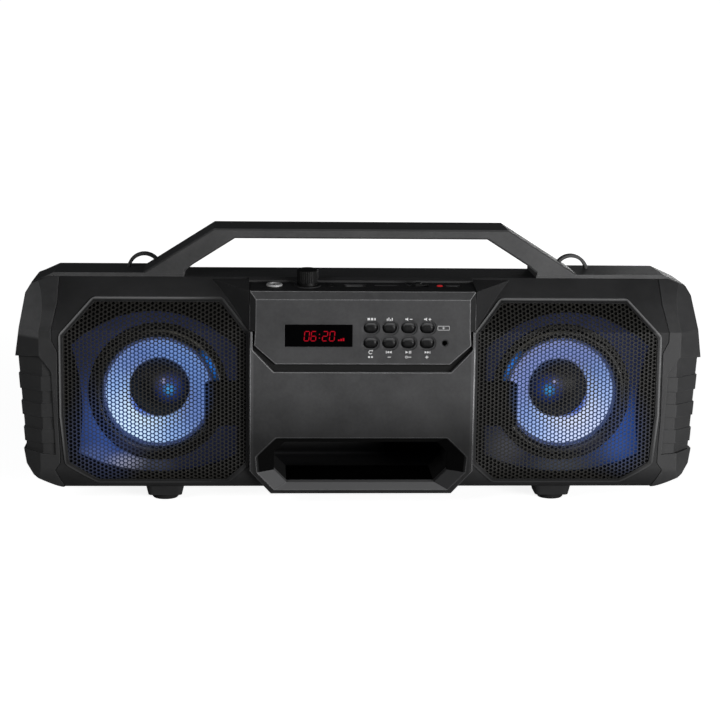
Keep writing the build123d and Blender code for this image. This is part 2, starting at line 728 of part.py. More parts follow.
cone_slope = (y_cone_front - y_cone_neck) / (cone_r - coil_r - 0.5)
y_dome_seat = y_cone_neck + cone_slope * (dome_r - coil_r - 0.5) - 0.02
dome_h = 7.5
dome_sphere = (dome_r ** 2 + dome_h ** 2) / (2 * dome_h)
with BuildPart() as dust_cap:
    with Locations((driver_x, y_dome_seat - dome_h + dome_sphere, driver_z)):
        Sphere(dome_sphere)
        Sphere(dome_sphere - 0.6, mode=CUT)
    with Locations((driver_x, y_dome_seat - 10, driver_z)):
        Box(60, 20, 60, mode=MEET)
keep_pair(dust_cap.part, "dust_cap")

with BuildPart() as voice_coil:
    add(turned(driver_x, driver_z, [(coil_r - 0.3, y_cone_neck - 1), (coil_r + 0.5, y_cone_neck - 1),
                                    (coil_r + 0.5, y_plate + 9), (coil_r - 0.3, y_plate + 9)]))
    add(cone.part, mode=CUT)
keep_pair(voice_coil.part, "voice_coil")

with BuildPart() as surround:
    with BuildSketch(Plane((driver_x, 0, driver_z))):
        with Locations((42.2, y_baffle - 2.0)):
            Circle(3.6)
            Circle(2.8, mode=CUT)
            with Locations((0, 5)):
                Rectangle(10, 10, mode=CUT)
        with Locations((46.3, y_baffle - 2.4)):
            Rectangle(2.2, 0.8)
    revolve(axis=Axis((driver_x, 0, driver_z), (0, 1, 0)))
keep_pair(surround.part, "surround")

with BuildPart() as spider:
    add(turned(driver_x, driver_z, [(coil_r + 0.5, y_seat - 0.9), (29.2, y_seat - 0.9),
                                    (29.2, y_seat - 0.3), (coil_r + 0.5, y_seat - 0.3)]))
keep_pair(spider.part, "spider")

# ---------------------------------------------------------------- electronics, battery and feet
with BuildPart() as amplifier_board:
    add(block((-66, 66), (y_amplifier - 1.6, y_amplifier), (96, 138)))
    for x, z in board_posts:
        add(bar((x, y_amplifier - 3, z), 1.6, 4), mode=CUT)
keep(amplifier_board.part, "amplifier_board")

with BuildPart() as battery_pack:
    add(block((-35, 35), (y_back - wall - 38.4, y_back - wall), (52.0, 90.0)))
    fillet(edges().filter_by(Axis.X), 8.5)
keep(battery_pack.part, "battery_pack")

with BuildPart() as rubber_feet:
    for x in (-foot_x, foot_x):
        for y in foot_rows:
            with Locations((x, y, 0)):
                Cylinder(9.2, 3.5, align=(Align.CENTER, Align.CENTER, Align.MIN))
                Cylinder(3.9, 7.0, align=(Align.CENTER, Align.CENTER, Align.MIN))
    chamfer(edges().filter_by(GeomType.CIRCLE).group_by(Axis.Z)[0], 0.8)
keep(rubber_feet.part, "rubber_feet")
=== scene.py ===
"""Portable boombox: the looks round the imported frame, in metres."""

import math

import bmesh
import bpy
from mathutils import Matrix, Vector
from mathutils.bvhtree import BVHTree


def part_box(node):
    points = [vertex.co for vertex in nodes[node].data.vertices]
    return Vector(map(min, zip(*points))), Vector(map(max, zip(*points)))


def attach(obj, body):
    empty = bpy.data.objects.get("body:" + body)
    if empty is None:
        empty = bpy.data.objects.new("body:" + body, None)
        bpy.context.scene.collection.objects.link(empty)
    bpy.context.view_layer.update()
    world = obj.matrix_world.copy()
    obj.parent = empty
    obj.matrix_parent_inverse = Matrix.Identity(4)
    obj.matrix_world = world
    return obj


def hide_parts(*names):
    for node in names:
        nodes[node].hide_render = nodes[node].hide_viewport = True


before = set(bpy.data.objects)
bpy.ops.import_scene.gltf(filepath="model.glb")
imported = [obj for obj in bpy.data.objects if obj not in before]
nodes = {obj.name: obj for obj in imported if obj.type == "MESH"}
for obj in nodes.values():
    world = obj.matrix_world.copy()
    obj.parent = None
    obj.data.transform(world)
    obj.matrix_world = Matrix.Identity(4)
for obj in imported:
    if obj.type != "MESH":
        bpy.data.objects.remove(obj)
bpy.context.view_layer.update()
scene = bpy.context.scene
scene.view_settings.view_transform = "Standard"

SIDES = (("left", -1), ("right", 1))
MM = 0.001


# ---------------------------------------------------------------- camera, light and floor
def aim(obj, place, forward, roll=0.0):
    """Put obj at place, looking along forward, rolled clockwise by roll."""
    f = Vector(forward).normalized()
    right = f.cross(Vector((0, 0, 1))).normalized()
    up = right.cross(f)
    c, s = math.cos(roll), math.sin(roll)
    right, up = right * c + up * s, up * c - right * s
    turn = Matrix((right, up, -f)).transposed().to_4x4()
    obj.matrix_world = Matrix.Translation(place) @ turn


eye = bpy.data.cameras.new("eye")
eye.lens = 99.55
eye.sensor_width = 36.0
camera = bpy.data.objects.new("eye", eye)
scene.collection.objects.link(camera)
yaw, pitch = math.radians(3.087), math.radians(10.586)
ahead = (math.sin(yaw) * math.cos(pitch), math.cos(yaw) * math.cos(pitch), -math.sin(pitch))
aim(camera, (-0.0741, -1.3978, 0.3548), ahead, math.radians(0.704))
scene.camera = camera


def soft_light(name, place, target, size, watts):
    """A rectangular lamp at place that looks at target."""
    lamp = bpy.data.lights.new(name, "AREA")
    lamp.shape = "RECTANGLE"
    lamp.size, lamp.size_y = size
    lamp.energy = watts
    holder = bpy.data.objects.new(name, lamp)
    scene.collection.objects.link(holder)
    aim(holder, place, Vector(target) - Vector(place))


middle = (0, 0, 0.09)
soft_light("key", (0.95, -1.3, 0.2), middle, (0.9, 0.34), 27)
soft_light("fill", (-1.2, -1.3, 0.75), middle, (0.8, 0.5), 9)
soft_light("back", (1.1, 1.8, 0.25), middle, (1.2, 0.4), 7)

world = bpy.data.worlds.new("studio")
world.use_nodes = True
world.node_tree.nodes["Background"].inputs["Color"].default_value = (0.9, 0.95, 1.0, 1)
world.node_tree.nodes["Background"].inputs["Strength"].default_value = 0.045
scene.world = world


# ---------------------------------------------------------------- materials
class Build:
    """A material's node tree, with short calls for the few nodes that the finishes share."""

    def __init__(self, name):
        self.material = bpy.data.materials.new(name)
        self.material.use_nodes = True
        self.tree = self.material.node_tree
        self.shader = self.tree.nodes["Principled BSDF"]
        self.place = self.add("ShaderNodeTexCoord").outputs["Object"]

    def add(self, kind, **settings):
        node = self.tree.nodes.new(kind)
        for key, value in settings.items():
            setattr(node, key, value)
        return node

    def join(self, source, target):
        if isinstance(source, (int, float)):
            target.default_value = source
        elif isinstance(source, tuple):
            target.default_value = source if len(source) == len(target.default_value) else (*source, 1)
        else:
            self.tree.links.new(source, target)

    def math(self, operation, *values, clamp=False):
        node = self.add("ShaderNodeMath", operation=operation, use_clamp=clamp)
        for value, socket in zip(values, node.inputs):
            self.join(value, socket)
        return node.outputs[0]

    def noise(self, scale, detail=2.0, rough=0.5):
        node = self.add("ShaderNodeTexNoise")
        node.inputs["Scale"].default_value = scale
        node.inputs["Detail"].default_value = detail
        node.inputs["Roughness"].default_value = rough
        self.join(self.place, node.inputs["Vector"])
        return node.outputs["Fac"]

    def band(self, value, low, high, to_low=0.0, to_high=1.0, smooth=False):
        """Carry value from the range low..high to to_low..to_high, and hold it at the ends."""
        node = self.add("ShaderNodeMapRange", interpolation_type="SMOOTHSTEP" if smooth else "LINEAR")
        ends = {"Value": value, "From Min": low, "From Max": high, "To Min": to_low, "To Max": to_high}
        for name, end in ends.items():
            self.join(end, node.inputs[name])
        return node.outputs[0]

    def mix(self, factor, a, b, blend="MIX"):
        node = self.add("ShaderNodeMix", data_type="RGBA", blend_type=blend, clamp_factor=True)
        self.join(factor, node.inputs[0])
        self.join(a, node.inputs[6])
        self.join(b, node.inputs[7])
        return node.outputs[2]

    def blob(self, center, size):
        """1 at center, fading smoothly to 0 at size away, along each axis."""
        shift = self.add("ShaderNodeVectorMath", operation="SUBTRACT")
        self.join(self.place, shift.inputs[0])
        shift.inputs[1].default_value = center
        scale = self.add("ShaderNodeVectorMath", operation="DIVIDE")
        self.join(shift.outputs[0], scale.inputs[0])
        scale.inputs[1].default_value = size
        far = self.add("ShaderNodeVectorMath", operation="LENGTH")
        self.join(scale.outputs[0], far.inputs[0])
        return self.band(far.outputs["Value"], 0.0, 1.0, 1.0, 0.0, smooth=True)

    def edges(self, radius, full=0.86):
        """The rounded normal, and a mask of the edges: 1 where they turn by an angle of cosine full."""
        bevel = self.add("ShaderNodeBevel", samples=6)
        bevel.inputs["Radius"].default_value = radius
        true = self.add("ShaderNodeNewGeometry").outputs["Normal"]
        dot = self.add("ShaderNodeVectorMath", operation="DOT_PRODUCT")
        self.join(bevel.outputs[0], dot.inputs[0])
        self.join(true, dot.inputs[1])
        return bevel.outputs[0], self.band(dot.outputs["Value"], 0.997, full, 0.0, 1.0)


def finish_of(name, color, rough=0.5, grain=0.25, grain_scale=2600, worn=0.5, wear_highlight_color=None, edge=0.5,
              mottled=0.16, metallic=0.0, specular=0.5, coat=0.0, full=0.86):
    """A moulded, painted or metal finish: mottled colour, fine grain, uneven gloss, and lighter edges that
    are partly wear and partly a painted highlight.

    It also keeps, as an attribute, the colour from before the edges were lightened.
    """
    b = Build(name)
    s = b.shader
    cloud = b.noise(34, 4, 0.6)
    fine = b.noise(grain_scale, 2, 0.6)
    dust = b.noise(420, 3, 0.7)
    shade = b.band(cloud, 0.3, 0.7, 1 - mottled, 1 + mottled)
    speck = b.band(dust, 0.35, 0.75, 0.94, 1.1)
    base = b.mix(1.0, color, b.math("MULTIPLY", shade, speck), "MULTIPLY")
    normal, mask = b.edges(edge * MM, full)
    # Painted highlight and wear: the edges are painted lighter in patches.
    worn_highlit_edges = b.math("MULTIPLY", mask, b.band(b.noise(160, 4, 0.7), 0.3, 0.7, worn * 0.55, worn))
    light = wear_highlight_color or tuple(min(1.0, c * 3.2 + 0.03) for c in color)
    b.join(b.mix(worn_highlit_edges, base, light), s.inputs["Base Color"])
    b.unworn = base
    gloss = b.math("ADD", b.band(dust, 0.3, 0.7, -0.06, 0.07), b.band(cloud, 0.3, 0.7, -0.04, 0.04))
    b.join(b.math("ADD", rough, gloss, clamp=True), s.inputs["Roughness"])
    s.inputs["Metallic"].default_value = metallic
    s.inputs["Specular IOR Level"].default_value = specular
    s.inputs["Coat Weight"].default_value = coat
    s.inputs["Coat Roughness"].default_value = 0.2
    bump = b.add("ShaderNodeBump")
    bump.inputs["Strength"].default_value = grain
    bump.inputs["Distance"].default_value = 0.0001
    b.join(fine, bump.inputs["Height"])
    b.join(normal, bump.inputs["Normal"])
    b.join(bump.outputs[0], s.inputs["Normal"])
    return b


def split(b, kind, output):
    """The three parts of a vector that the node kind gives."""
    parts = b.add("ShaderNodeSeparateXYZ")
    b.join(b.add(kind).outputs[output], parts.inputs[0])
    return parts.outputs


def place_on(b):
    """Where a point of the surface lies, as X, Y and Z in metres."""
    return split(b, "ShaderNodeTexCoord", "Object")


def facing_of(b):
    """The direction that a flat face looks in, as X, Y and Z."""
    return split(b, "ShaderNodeNewGeometry", "True Normal")


def every(b, *masks):
    """1 only where all these masks are 1."""
    product = masks[0]
    for mask in masks[1:]:
        product = b.math("MULTIPLY", product, mask)
    return product


def shade_by(b, amount):
    """Darken or lighten a finish by a factor that varies over it."""
    color = b.shader.inputs["Base Color"]
    b.join(b.mix(1.0, color.links[0].from_socket, amount, "MULTIPLY"), color)


def shade_where(b, mask, factor):
    """Darken or lighten a finish by a factor where the mask is 1."""
    shade_by(b, b.band(mask, 0.0, 1.0, 1.0, factor))


def recolor(b, mask, color):
    """Blend a finish to another colour where the mask is 1."""
    base = b.shader.inputs["Base Color"]
    b.join(b.mix(mask, base.links[0].from_socket, color), base)


def glow(b, amount_colors):
    """Light that falls on a surface from the lamps: a sum of masked colours."""
    total = (0.0, 0.0, 0.0)
    for amount, color in amount_colors:
        lit = b.mix(amount, (0.0, 0.0, 0.0), color)
        total = b.mix(1.0, total, lit, "ADD")
    b.join(total, b.shader.inputs["Emission Color"])
    b.shader.inputs["Emission Strength"].default_value = 1.0


def from_axis(b, center):
    """The vector from the line along Y through center, square to that line, and its length."""
    shift = b.add("ShaderNodeVectorMath", operation="SUBTRACT")
    b.join(b.place, shift.inputs[0])
    shift.inputs[1].default_value = center
    flat = b.add("ShaderNodeVectorMath", operation="MULTIPLY")
    b.join(shift.outputs[0], flat.inputs[0])
    flat.inputs[1].default_value = (1, 0, 1)
    length = b.add("ShaderNodeVectorMath", operation="LENGTH")
    b.join(flat.outputs[0], length.inputs[0])
    return flat.outputs[0], length.outputs["Value"]


def arc(b, center, radius, half_width):
    """1 on a thin ring of this radius about the line along Y through center."""
    _, distance = from_axis(b, center)
    off = b.math("ABSOLUTE", b.math("SUBTRACT", distance, radius))
    return b.band(off, 0.0, half_width, 1.0, 0.0, smooth=True)


def wear(objects, built):
    """Give these objects one finish in every slot."""
    for obj in objects:
        data = obj.data
        if not data.materials:
            data.materials.append(built.material)
        for slot in obj.material_slots:
            slot.link = "OBJECT"
            slot.material = built.material


housing = finish_of("housing_plastic", (0.0185, 0.0185, 0.019), 0.6, 0.3, 2600, 0.35, specular=0.2, edge=0.6)
cap = finish_of("cap_plastic", (0.03, 0.03, 0.0305), 0.55, 0.35, 2200, 0.3, specular=0.25, edge=0.7)
handle = finish_of("handle_plastic", (0.052, 0.052, 0.0525), 0.5, 0.25, 2600, 0.4, specular=0.12, edge=0.6)
rim = finish_of("rim_plastic", (0.012, 0.012, 0.0122), 0.5, 0.2, 2600, 0.25, specular=0.2, edge=0.5)
fascia = finish_of("fascia_paint", (0.046, 0.046, 0.047), 0.48, 0.2, 3200, 1.0, (0.3, 0.3, 0.305),
                   specular=0.12, edge=1.0, metallic=0.2, full=0.955)
deck = finish_of("deck_plastic", (0.016, 0.016, 0.0165), 0.55, 0.3, 2600, 0.3, specular=0.15, edge=0.4)
mesh_metal = finish_of("grille_metal", (0.0165, 0.0158, 0.0142), 0.5, 0.3, 5200, 0.0, specular=0.2,
                       edge=0.02)
basket_black = finish_of("basket_paint", (0.004, 0.004, 0.004), 0.6, 0.25, 1800, 0.1, specular=0.15,
                         edge=0.2)
rubber = finish_of("foot_rubber", (0.008, 0.008, 0.008), 0.8, 0.6, 1800, 0.15, specular=0.15)
key_rubber = finish_of("key_rubber", (0.006, 0.006, 0.0062), 0.34, 0.3, 3000, 0.1, specular=0.15, edge=0.2)
knob_plastic = finish_of("knob_plastic", (0.003, 0.003, 0.003), 0.42, 0.3, 3000, 0.25, specular=0.15,
                         edge=0.25)
nickel = finish_of("nickel_plate", (0.36, 0.36, 0.36), 0.55, 0.1, 3000, 0.2, metallic=0.3, edge=0.2,
                   mottled=0.06)
tin = finish_of("tinned_steel", (0.12, 0.12, 0.122), 0.45, 0.2, 2600, 0.2, metallic=0.6, edge=0.1,
                mottled=0.08)
steel = finish_of("pressed_steel", (0.09, 0.09, 0.093), 0.45, 0.25, 1800, 0.3, metallic=0.7, edge=0.3)
ferrite = finish_of("ferrite", (0.03, 0.03, 0.032), 0.7, 0.5, 1500, 0.3)
circuit = finish_of("circuit_board", (0.02, 0.11, 0.04), 0.45, 0.3, 1500, 0.3, edge=0.2)
wrap = finish_of("shrink_wrap", (0.03, 0.08, 0.3), 0.3, 0.2, 500, 0.2, coat=0.5)
lamp_black = finish_of("lamp_plastic", (0.012, 0.012, 0.0125), 0.5, 0.3, 2600, 0.2, edge=0.4)
former = finish_of("coil_former", (0.35, 0.19, 0.07), 0.45, 0.3, 1600, 0.2)
screen = finish_of("display_window", (0.0006, 0.0006, 0.0007), 0.2, 0.03, 2600, 0.05, mottled=0.05,
                   specular=0.02, edge=0.2)

# Painted shade: the port duct is near black, as shade deep in the port.
duct = finish_of("duct_plastic", (0.0015, 0.0015, 0.0015), 0.9, 0.25, 1800, 0.0, specular=0.0, edge=0.2)
charge_red = finish_of("charge_light", (0.35, 0.01, 0.01), 0.25, 0.05, 2600, 0.0, coat=0.5, edge=0.2)
glow(charge_red, [(1.0, (0.26, 0.008, 0.010))])


def box_mask(b, where, low, high, margin, more_x=0.0):
    """1 over a box seen from the front, grown by a margin and by more_x on its right."""
    soft = 0.0003
    within = 1.0
    for axis, start, end in (("X", low.x, high.x + more_x), ("Z", low.z, high.z)):
        for side, out in ((start, -1), (end, 1)):
            near, far = side + out * margin, side + out * (margin + soft)
            within = every(b, within, b.band(where[axis], near, far, 1.0, 0.0))
    return within


def paint_fascia(b):
    """Painted shade: the paint is darker towards the port, and the groove and the port's walls are painted
    near black and left dull.
    """
    # Heights above the floor, each as the two ends of a soft step.
    painted_shade_heights, lip_top, port_top = (0.044, 0.080), (0.03, 0.026), (0.060, 0.056)
    panel_foot, bevel_foot, deck_edge = (0.113, 0.110), (0.112, 0.120), (0.1250, 0.1242)

    where, facing = place_on(b), facing_of(b)
    sideways = b.math("ABSOLUTE", facing["X"])
    # Painted shade: darker towards the bottom.
    shade_by(b, b.band(where["Z"], *painted_shade_heights, 0.29, 1.06))

    # Below the port, painted light: the lip's flat top is painted light, and the slanted faces at its two
    # sides are painted lighter on the left than on the right.
    low_down = b.band(where["Z"], *lip_top)
    lip = every(b, b.band(facing["Z"], 0.8, 0.9), low_down)
    slanted = every(b, b.math("SUBTRACT", b.band(facing["Z"], 0.3, 0.45), lip, clamp=True), low_down)
    recolor(b, slanted, b.mix(b.band(where["X"], -0.01, 0.01), (0.10, 0.10, 0.102), (0.05, 0.05, 0.051)))
    recolor(b, lip, (0.2, 0.2, 0.203))

    # Painted light: the strips beside the panel are painted lighter. Round the keys and the display the edges
    # aren't worn or highlit.
    outer = b.band(b.math("ABSOLUTE", where["X"]), 0.0744, 0.0752)
    shade_where(b, every(b, outer, b.band(where["Z"], *panel_foot)), 1.45)
    microphone = 0.0123                     # how far the microphone hole reaches past the last key
    edge_margin = 0.0021
    for first, last, more_x in (("repeat_button", "volume_up_button", microphone),
                                ("display_window", "display_window", 0.0)):
        recolor(b, box_mask(b, where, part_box(first)[0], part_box(last)[1], edge_margin, more_x), b.unworn)
    # Painted shade: the panel's side bevels are darkened.
    bevel = every(b, b.band(sideways, 0.3, 0.5), b.band(where["Z"], *bevel_foot))
    recolor(b, b.math("MULTIPLY", bevel, 0.8), (0.008, 0.008, 0.008))

    # Whatever lies behind the bowed front and doesn't look up is the groove, or the port's wall. Both are
    # painted near black as painted shade, darkest in the port, and made dull.
    y_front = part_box("center_fascia")[0].y
    bow = b.math("ADD", b.band(where["Z"], 0.1, 0.06, y_front, y_front + 0.0007),
                 b.band(where["Z"], 0.06, 0.0095, 0.0, 0.0019))
    behind = b.band(b.math("SUBTRACT", where["Y"], bow), 0.0008, 0.0016)
    not_up = b.band(facing["Z"], 0.36, 0.3)
    below_deck = b.band(where["Z"], *deck_edge)
    recessed = every(b, behind, not_up, below_deck)
    in_port = b.band(where["Z"], *port_top)
    recolor(b, recessed, b.mix(in_port, (0.014, 0.014, 0.014), (0.0008, 0.0008, 0.0008)))
    rough = b.shader.inputs["Roughness"]
    b.join(b.math("MAXIMUM", rough.links[0].from_socket, recessed), rough)


def shade_housing(b):
    """Painted light and shade: darker at the left end and near the floor, lighter on the flat top, and
    painted near black on the inner walls behind the front.
    """
    where, facing = place_on(b), facing_of(b)
    shade_by(b, b.band(where["X"], -0.212, -0.165, 0.6, 1.0, smooth=True))
    shade_by(b, b.band(where["Z"], 0.012, 0.030, 0.75, 1.0))
    shade_by(b, b.band(facing["Z"], 0.8, 0.95, 1.0, 1.5))
    shade_where(b, every(b, b.band(facing["Y"], -0.4, -0.5), b.band(where["Y"], 0.008, 0.010)), 0.1)


def shade_cap(b):
    """Painted light and shade: the left cap's front is painted dimmer, and its outer side is painted light
    above the crease and dark below it.
    """
    where, facing = place_on(b), facing_of(b)
    on_left = b.band(where["X"], 0.1, -0.1)
    crease = (0.1165, 0.1185)
    front = every(b, b.band(facing["Y"], -0.75, -0.9), on_left)
    shade_where(b, front, b.band(where["Z"], *crease, 0.62, 0.5))
    side = every(b, b.band(facing["Y"], -0.9, -0.75), on_left, b.band(facing["Z"], 0.6, 0.5))
    shade_where(b, side, b.band(where["Z"], *crease, 0.8, 2.6))


def paint_key_highlights(b):
    """A painted highlight on the upper edge of each round key."""
    upward = split(b, "ShaderNodeNewGeometry", "Normal")["Z"]
    recolor(b, b.band(upward, 0.25, 0.95), (0.14, 0.14, 0.142))


paint_fascia(fascia)
shade_housing(housing)
shade_cap(cap)
paint_key_highlights(key_rubber)
# Painted light: the handle is painted darker at its left end and lighter at its right end.
shade_by(handle, handle.band(place_on(handle)["X"], -0.21, 0.21, 0.76, 1.22))
# Painted light: the duct's faces that look sideways are painted nine times lighter.
shade_where(duct, duct.band(duct.math("ABSOLUTE", facing_of(duct)["X"]), 0.4, 0.6), 9.0)

WORN_BY = (
    (housing, ("front_shell", "rear_shell")),
    (duct, ("port_duct",)),
    (cap, ("left_end_cap", "right_end_cap")),
    (handle, ("carry_handle", "left_strap_lug", "right_strap_lug")),
    (rim, ("left_grille_bezel", "right_grille_bezel")),
    (fascia, ("center_fascia", "control_panel")),
    (deck, ("top_deck",)),
    (rubber, ("rubber_feet",)),
    (key_rubber, tuple(n for n in nodes if n.endswith("_button"))),
    (knob_plastic, ("volume_knob", "power_slider", "aux_jack")),
    (nickel, ("microphone_jack",)),
    (tin, ("usb_socket", "card_socket", "charge_socket", "volume_control", "volume_shaft")),
    (steel, ("shell_screws",)),
    (basket_black, ("left_driver_basket", "right_driver_basket")),
    (ferrite, ("left_driver_magnet", "right_driver_magnet")),
    (circuit, ("button_board", "amplifier_board")),
    (wrap, ("battery_pack",)),
    (lamp_black, ("display_module", "tact_switches", "power_switch")),
    (former, ("left_spider", "right_spider", "left_voice_coil", "right_voice_coil")),
    (screen, ("display_window",)),
    (charge_red, ("charge_light",)),
)
for built, names in WORN_BY:
    wear([nodes[n] for n in names], built)


# ---------------------------------------------------------------- the lit drivers
# Each cone's colours from the side away from the light to the side that faces it.
CONE_STOPS = {"left": ((0.0, (0.12, 0.22, 0.50)), (0.3, (0.105, 0.175, 0.42)), (0.55, (0.14, 0.22, 0.48)),
                       (0.8, (0.26, 0.42, 0.74)), (1.0, (0.60, 0.79, 0.97))),
              "right": ((0.0, (0.16, 0.20, 0.44)), (0.3, (0.155, 0.20, 0.44)), (0.55, (0.19, 0.29, 0.58)),
                        (0.8, (0.34, 0.47, 0.80)), (1.0, (0.62, 0.70, 0.94)))}
# The brightest direction on each cone, outwards and up.
BRIGHTEST = {"left": (0.64, -0.77), "right": (0.5, -0.87)}
# Light on each recess: place outwards and up from the driver's middle in mm, reach and colour.
RECESS = {"left": (((36, -30), (36, 40), (0.020, 0.060, 0.24)), ((48, -4), (14, 30), (0.006, 0.016, 0.06)),
                   ((24, -50), (19, 9), (0.22, 0.215, 0.23)), ((44, -46), (22, 12), (0.05, 0.06, 0.10)),
                   ((6, -52), (24, 9), (0.03, 0.035, 0.05))),
          "right": (((44, -25), (22, 38), (0.008, 0.050, 0.24)), ((36, -42), (30, 18), (0.012, 0.03, 0.10)),
                    ((2, -53), (34, 12), (0.032, 0.037, 0.040)),
                    ((-38, -40), (20, 22), (0.045, 0.045, 0.043)))}


def spot_of(side_name, s):
    """A function that gives places about a driver's middle, on its flange unless y says otherwise."""
    low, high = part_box(side_name + "_driver_basket")
    middle_x, flange_y, middle_z = (low.x + high.x) / 2, low.y, (low.z + high.z) / 2

    def spot(u, v, y=flange_y):
        """A point u outwards and v up from the driver's middle, in millimetres."""
        return (middle_x + s * u * MM, y, middle_z + v * MM)
    return spot


def recess_lights(b, side_name, spot):
    """The masks and colours of the light on one recess."""
    return [(b.blob(spot(*place), (reach[0] * MM, 0.2, reach[1] * MM)), color)
            for place, reach, color in RECESS[side_name]]


def lit_cone(side_name, s, spot):
    """The lamps at the inner side light the cone, brightest low on the outer side."""
    # Radii, each as the two ends of a soft step.
    dome_edge, crescent_edge, paper_edge = (0.0206, 0.0218), (0.0238, 0.0226), (0.0360, 0.0368)
    cone = finish_of(side_name + "_cone_paper", (0.10, 0.12, 0.2), 0.6, 0.5, 1400, 0.0, specular=0.3,
                     edge=0.1)
    outward, distance = from_axis(cone, spot(0, 0, 0))
    unit = cone.add("ShaderNodeVectorMath", operation="NORMALIZE")
    cone.join(outward, unit.inputs[0])
    towards = cone.add("ShaderNodeVectorMath", operation="DOT_PRODUCT")
    cone.join(unit.outputs[0], towards.inputs[0])
    across, up = BRIGHTEST[side_name]
    towards.inputs[1].default_value = (s * across, 0, up)
    ramp = cone.add("ShaderNodeValToRGB")
    stops = CONE_STOPS[side_name]
    while len(ramp.color_ramp.elements) < len(stops):
        ramp.color_ramp.elements.new(0.5)
    for element, (at, color) in zip(ramp.color_ramp.elements, stops):
        element.position = at
        element.color = (*color, 1)
    cone.join(cone.band(towards.outputs["Value"], -1, 1), ramp.inputs[0])
    fibre = cone.band(cone.noise(900, 4, 0.7), 0.3, 0.7, 0.9, 1.12)
    beyond_dome = cone.band(distance, *dome_edge, 0.1, 1.0, smooth=True)
    light = cone.mix(1.0, ramp.outputs[0], every(cone, fibre, beyond_dome), "MULTIPLY")
    crescent = every(cone, cone.band(distance, *crescent_edge),
                     cone.blob(spot(15, -15), (0.018, 0.08, 0.020)))
    light = cone.mix(crescent, light, (0.012, 0.08, 0.5))
    at_rim = cone.band(distance, *paper_edge, smooth=True)
    cone.join(cone.mix(at_rim, light, (0.012, 0.022, 0.075)), cone.shader.inputs["Emission Color"])
    cone.shader.inputs["Emission Strength"].default_value = 1.0
    return cone


def lit_dome(side_name, spot):
    """A blue glint with a pale point beside it on the black dust cap."""
    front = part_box(side_name + "_dust_cap")[0].y
    dome = finish_of(side_name + "_dome", (0.003, 0.003, 0.0035), 0.45, 0.15, 2200, 0.0, specular=0.2,
                     edge=0.1)
    glow(dome, [(dome.blob(spot(-7.5, 0.5, front), (0.0135, 0.02, 0.0135)), (0.012, 0.04, 0.24)),
                (dome.blob(spot(-7.0, -0.5, front), (0.0055, 0.02, 0.006)), (0.03, 0.26, 0.42)),
                (dome.blob(spot(-3.0, 5.6, front), (0.0024, 0.02, 0.0026)), (0.3, 0.3, 0.42)),
                (dome.blob(spot(-2.0, 5.0, front), (0.010, 0.02, 0.010)), (0.03, 0.03, 0.035))])
    return dome


def lit_surround(side_name, spot):
    """Painted lamp light: a blue crescent high on the inner side, and thin pale glints along the roll."""
    roll = finish_of(side_name + "_surround_rubber", (0.002, 0.002, 0.002), 0.4, 0.2, 2200, 0.0,
                     specular=0.3, edge=0.1)

    def glint(radius, half_width, place, size):
        return every(roll, arc(roll, spot(0, 0, 0), radius, half_width), roll.blob(spot(*place), size))

    glow(roll, [(glint(0.0412, 0.0028, (-36, 20), (0.012, 0.06, 0.017)), (0.015, 0.16, 0.62)),
                (roll.blob(spot(20, -36), (0.03, 0.03, 0.012)), (0.012, 0.013, 0.025)),
                (glint(0.0436, 0.0011, (-18, 38), (0.036, 0.06, 0.022)), (0.062, 0.060, 0.052)),
                (glint(0.0405, 0.0011, (17, -36), (0.026, 0.06, 0.016)), (0.055, 0.058, 0.075))])
    return roll


def lit_baffle(side_name, spot):
    """Painted lamp light on the shield-shaped recess: navy at the top, vivid on the outer side, pale at its
    foot.
    """
    bowl = finish_of(side_name + "_baffle_plastic", (0.004, 0.004, 0.004), 0.6, 0.3, 2400, 0.1, specular=0.1,
                     edge=0.4)
    front_on = bowl.math("ABSOLUTE", facing_of(bowl)["Y"])
    flat_or_wall = bowl.math("MAXIMUM", bowl.band(front_on, 0.95, 0.97), bowl.band(front_on, 0.45, 0.35))
    flange_y = spot(0, 0)[1]
    sunken = bowl.band(place_on(bowl)["Y"], flange_y - 0.0075, flange_y - 0.0035, smooth=True)
    deep = every(bowl, sunken, flat_or_wall)
    navy_lamp_light = (bowl.blob(spot(12, 10), (0.12, 0.3, 0.12)), (0.017, 0.023, 0.062))
    lights = [navy_lamp_light] + recess_lights(bowl, side_name, spot)
    glow(bowl, [(every(bowl, amount, deep), color) for amount, color in lights])
    return bowl


def lit_lamp(side_name, s, spot):
    """The lamp block is black but for a blue edge on its outer face."""
    lamp = finish_of(side_name + "_lamp_block", (0.003, 0.003, 0.003), 0.5, 0.3, 2400, 0.1, specular=0.1,
                     edge=0.4)
    low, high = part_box(side_name + "_led_lamp")
    outer_x = high.x if s > 0 else low.x
    glow(lamp, [(lamp.blob((outer_x + s * 0.0004, high.y, spot(0, -6)[2]), (0.0009, 0.004, 0.012)),
                 (0.12, 0.45, 1.0))])
    return lamp


for side_name, s in SIDES:
    spot = spot_of(side_name, s)
    wear([nodes[side_name + "_cone"]], lit_cone(side_name, s, spot))
    wear([nodes[side_name + "_dust_cap"]], lit_dome(side_name, spot))
    wear([nodes[side_name + "_surround"]], lit_surround(side_name, spot))
    wear([nodes[side_name + "_baffle"]], lit_baffle(side_name, spot))
    wear([nodes[side_name + "_led_lamp"]], lit_lamp(side_name, s, spot))


